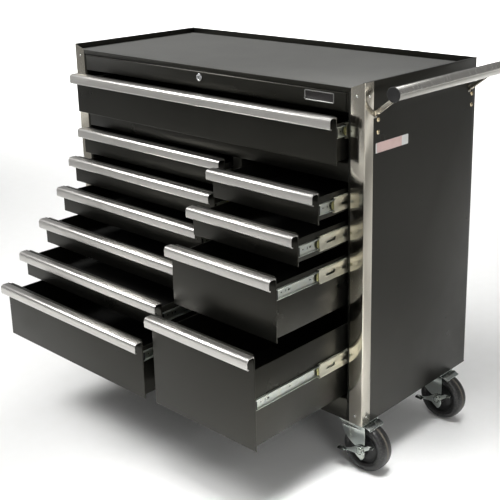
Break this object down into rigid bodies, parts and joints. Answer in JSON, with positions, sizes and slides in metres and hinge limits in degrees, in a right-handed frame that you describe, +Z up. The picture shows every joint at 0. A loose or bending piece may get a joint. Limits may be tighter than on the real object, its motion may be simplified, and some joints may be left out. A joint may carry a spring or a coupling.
{
  "type": "rolling tool cabinet",
  "caption": "Rolling steel tool cabinet with a full width drawer over two columns of drawers, stainless corner trims, a matted top tray, a side push handle and casters.",
  "frame": {"origin": "on the floor under the centre of the cabinet body (not of the box around the open drawers and the handle)", "axes": "+X to the right of a person facing the drawers, towards the push handle; +Y to the back; +Z up"},
  "size_m": [1.176, 0.8285, 0.9915],
  "materials": {
    "black_powder_coat": "semi-gloss powder coat over folded sheet steel",
    "grey_mat": "matt grey non-slip sheet",
    "stainless_steel": "polished to a soft satin",
    "zinc_plated_steel": "bright zinc plate",
    "polished_aluminium": "brushed along its length",
    "black_plastic": "matt moulded plastic",
    "yellow_zinc_screws": "yellow passivated zinc plate",
    "chrome_lock": "bright chrome plate",
    "caster_rubber": "moulded thermoplastic rubber, slightly worn"
  },
  "bodies": {
    "cabinet": {"side_panel_left": "black_powder_coat", "side_panel_right": "black_powder_coat", "back_panel": "black_powder_coat", "base_pan": "black_powder_coat", "centre_divider": "black_powder_coat", "mid_rail": "black_powder_coat", "lock_rail": "black_powder_coat", "top_tray": "black_powder_coat", "top_mat": "grey_mat", "corner_trims": "stainless_steel", "trim_rivets": "stainless_steel", "cabinet_slide_members": "zinc_plated_steel", "handle_tube": "stainless_steel", "handle_end_caps": "black_plastic", "handle_brackets": "stainless_steel", "handle_screws": "yellow_zinc_screws", "rigid_caster_forks": "zinc_plated_steel", "swivel_caster_plates": "zinc_plated_steel"},
    "lock": {"lock_plug": "chrome_lock"},
    "fork_front": {"swivel_fork_front": "zinc_plated_steel"},
    "fork_rear": {"swivel_fork_rear": "zinc_plated_steel"},
    "wheel_left_front": {"wheel_left_front": "caster_rubber"},
    "wheel_left_rear": {"wheel_left_rear": "caster_rubber"},
    "wheel_right_front": {"wheel_right_front": "caster_rubber"},
    "wheel_right_rear": {"wheel_right_rear": "caster_rubber"},
    "brake_front": {"brake_lever_front": "zinc_plated_steel"},
    "brake_rear": {"brake_lever_rear": "zinc_plated_steel"},
    "drawer_top": {"drawer_top": "black_powder_coat", "pull_top": "polished_aluminium"},
    "middle_slides_top": {"middle_slides_top": "zinc_plated_steel"},
    "drawer_left_1": {"drawer_left_1": "black_powder_coat", "pull_left_1": "polished_aluminium"},
    "middle_slides_left_1": {"middle_slides_left_1": "zinc_plated_steel"},
    "drawer_left_2": {"drawer_left_2": "black_powder_coat", "pull_left_2": "polished_aluminium"},
    "middle_slides_left_2": {"middle_slides_left_2": "zinc_plated_steel"},
    "drawer_left_3": {"drawer_left_3": "black_powder_coat", "pull_left_3": "polished_aluminium"},
    "middle_slides_left_3": {"middle_slides_left_3": "zinc_plated_steel"},
    "drawer_left_4": {"drawer_left_4": "black_powder_coat", "pull_left_4": "polished_aluminium"},
    "middle_slides_left_4": {"middle_slides_left_4": "zinc_plated_steel"},
    "drawer_left_5": {"drawer_left_5": "black_powder_coat", "pull_left_5": "polished_aluminium"},
    "middle_slides_left_5": {"middle_slides_left_5": "zinc_plated_steel"},
    "drawer_left_6": {"drawer_left_6": "black_powder_coat", "pull_left_6": "polished_aluminium"},
    "middle_slides_left_6": {"middle_slides_left_6": "zinc_plated_steel"},
    "drawer_right_1": {"drawer_right_1": "black_powder_coat", "pull_right_1": "polished_aluminium"},
    "middle_slides_right_1": {"middle_slides_right_1": "zinc_plated_steel"},
    "drawer_right_2": {"drawer_right_2": "black_powder_coat", "pull_right_2": "polished_aluminium"},
    "middle_slides_right_2": {"middle_slides_right_2": "zinc_plated_steel"},
    "drawer_right_3": {"drawer_right_3": "black_powder_coat", "pull_right_3": "polished_aluminium"},
    "middle_slides_right_3": {"middle_slides_right_3": "zinc_plated_steel"},
    "drawer_right_4": {"drawer_right_4": "black_powder_coat", "pull_right_4": "polished_aluminium"},
    "middle_slides_right_4": {"middle_slides_right_4": "zinc_plated_steel"}
  },
  "joints": [
    {"name": "drawer_top_slide", "type": "slide", "parent": "cabinet", "child": "drawer_top", "axis": [0, -1, 0], "range_m": [-0.041, 0.349]},
    {"name": "middle_top_slide", "type": "slide", "parent": "cabinet", "child": "middle_slides_top", "axis": [0, -1, 0], "range_m": [-0.02051, 0.17451]},
    {"name": "drawer_left_1_slide", "type": "slide", "parent": "cabinet", "child": "drawer_left_1", "axis": [0, -1, 0], "range_m": [-0.028, 0.362]},
    {"name": "middle_left_1_slide", "type": "slide", "parent": "cabinet", "child": "middle_slides_left_1", "axis": [0, -1, 0], "range_m": [-0.01401, 0.18101]},
    {"name": "drawer_left_2_slide", "type": "slide", "parent": "cabinet", "child": "drawer_left_2", "axis": [0, -1, 0], "range_m": [-0.068, 0.322]},
    {"name": "middle_left_2_slide", "type": "slide", "parent": "cabinet", "child": "middle_slides_left_2", "axis": [0, -1, 0], "range_m": [-0.03401, 0.16101]},
    {"name": "drawer_left_3_slide", "type": "slide", "parent": "cabinet", "child": "drawer_left_3", "axis": [0, -1, 0], "range_m": [-0.118, 0.272]},
    {"name": "middle_left_3_slide", "type": "slide", "parent": "cabinet", "child": "middle_slides_left_3", "axis": [0, -1, 0], "range_m": [-0.05901, 0.13601]},
    {"name": "drawer_left_4_slide", "type": "slide", "parent": "cabinet", "child": "drawer_left_4", "axis": [0, -1, 0], "range_m": [-0.187, 0.203]},
    {"name": "middle_left_4_slide", "type": "slide", "parent": "cabinet", "child": "middle_slides_left_4", "axis": [0, -1, 0], "range_m": [-0.09351, 0.10151]},
    {"name": "drawer_left_5_slide", "type": "slide", "parent": "cabinet", "child": "drawer_left_5", "axis": [0, -1, 0], "range_m": [-0.261, 0.129]},
    {"name": "middle_left_5_slide", "type": "slide", "parent": "cabinet", "child": "middle_slides_left_5", "axis": [0, -1, 0], "range_m": [-0.13051, 0.06451]},
    {"name": "drawer_left_6_slide", "type": "slide", "parent": "cabinet", "child": "drawer_left_6", "axis": [0, -1, 0], "range_m": [-0.329, 0.061]},
    {"name": "middle_left_6_slide", "type": "slide", "parent": "cabinet", "child": "middle_slides_left_6", "axis": [0, -1, 0], "range_m": [-0.16451, 0.03051]},
    {"name": "drawer_right_1_slide", "type": "slide", "parent": "cabinet", "child": "drawer_right_1", "axis": [0, -1, 0], "range_m": [-0.104, 0.286]},
    {"name": "middle_right_1_slide", "type": "slide", "parent": "cabinet", "child": "middle_slides_right_1", "axis": [0, -1, 0], "range_m": [-0.06449, 0.17733]},
    {"name": "drawer_right_2_slide", "type": "slide", "parent": "cabinet", "child": "drawer_right_2", "axis": [0, -1, 0], "range_m": [-0.175, 0.215]},
    {"name": "middle_right_2_slide", "type": "slide", "parent": "cabinet", "child": "middle_slides_right_2", "axis": [0, -1, 0], "range_m": [-0.11726, 0.14406]},
    {"name": "drawer_right_3_slide", "type": "slide", "parent": "cabinet", "child": "drawer_right_3", "axis": [0, -1, 0], "range_m": [-0.249, 0.141]},
    {"name": "middle_right_3_slide", "type": "slide", "parent": "cabinet", "child": "middle_slides_right_3", "axis": [0, -1, 0], "range_m": [-0.11953, 0.06769]},
    {"name": "drawer_right_4_slide", "type": "slide", "parent": "cabinet", "child": "drawer_right_4", "axis": [0, -1, 0], "range_m": [-0.323, 0.067]},
    {"name": "middle_right_4_slide", "type": "slide", "parent": "cabinet", "child": "middle_slides_right_4", "axis": [0, -1, 0], "range_m": [-0.11952, 0.0248]},
    {"name": "lock_turn", "type": "hinge", "parent": "cabinet", "child": "lock", "pos_m": [0, -0.234, 0.9485], "axis": [0, 1, 0], "range_deg": [0, 90]},
    {"name": "fork_front_swivel", "type": "hinge", "parent": "cabinet", "child": "fork_front", "pos_m": [0.4875, -0.1955, 0.1365], "axis": [0, 0, 1], "continuous": true},
    {"name": "wheel_right_front_spin", "type": "hinge", "parent": "fork_front", "child": "wheel_right_front", "pos_m": [0.5235, -0.1955, 0.0635], "axis": [0, 1, 0], "continuous": true},
    {"name": "brake_front_press", "type": "hinge", "parent": "fork_front", "child": "brake_front", "pos_m": [0.5235, -0.1955, 0.0635], "axis": [0, 1, 0], "range_deg": [-20, 0]},
    {"name": "wheel_left_front_spin", "type": "hinge", "parent": "cabinet", "child": "wheel_left_front", "pos_m": [-0.4875, -0.1955, 0.0635], "axis": [0, 1, 0], "continuous": true},
    {"name": "fork_rear_swivel", "type": "hinge", "parent": "cabinet", "child": "fork_rear", "pos_m": [0.4875, 0.148, 0.1365], "axis": [0, 0, 1], "continuous": true},
    {"name": "wheel_right_rear_spin", "type": "hinge", "parent": "fork_rear", "child": "wheel_right_rear", "pos_m": [0.5235, 0.148, 0.0635], "axis": [0, 1, 0], "continuous": true},
    {"name": "brake_rear_press", "type": "hinge", "parent": "fork_rear", "child": "brake_rear", "pos_m": [0.5235, 0.148, 0.0635], "axis": [0, 1, 0], "range_deg": [-20, 0]},
    {"name": "wheel_left_rear_spin", "type": "hinge", "parent": "cabinet", "child": "wheel_left_rear", "pos_m": [-0.4875, 0.148, 0.0635], "axis": [0, 1, 0], "continuous": true}
  ],
  "couplings": [
    {"joint": "middle_top_slide", "follows": "drawer_top_slide", "ratio": 0.5},
    {"joint": "middle_left_1_slide", "follows": "drawer_left_1_slide", "ratio": 0.5},
    {"joint": "middle_left_2_slide", "follows": "drawer_left_2_slide", "ratio": 0.5},
    {"joint": "middle_left_3_slide", "follows": "drawer_left_3_slide", "ratio": 0.5},
    {"joint": "middle_left_4_slide", "follows": "drawer_left_4_slide", "ratio": 0.5},
    {"joint": "middle_left_5_slide", "follows": "drawer_left_5_slide", "ratio": 0.5},
    {"joint": "middle_left_6_slide", "follows": "drawer_left_6_slide", "ratio": 0.5},
    {"joint": "middle_right_1_slide", "follows": "drawer_right_1_slide", "ratio": 0.62},
    {"joint": "middle_right_2_slide", "follows": "drawer_right_2_slide", "ratio": 0.67},
    {"joint": "middle_right_3_slide", "follows": "drawer_right_3_slide", "ratio": 0.48},
    {"joint": "middle_right_4_slide", "follows": "drawer_right_4_slide", "ratio": 0.37}
  ]
}
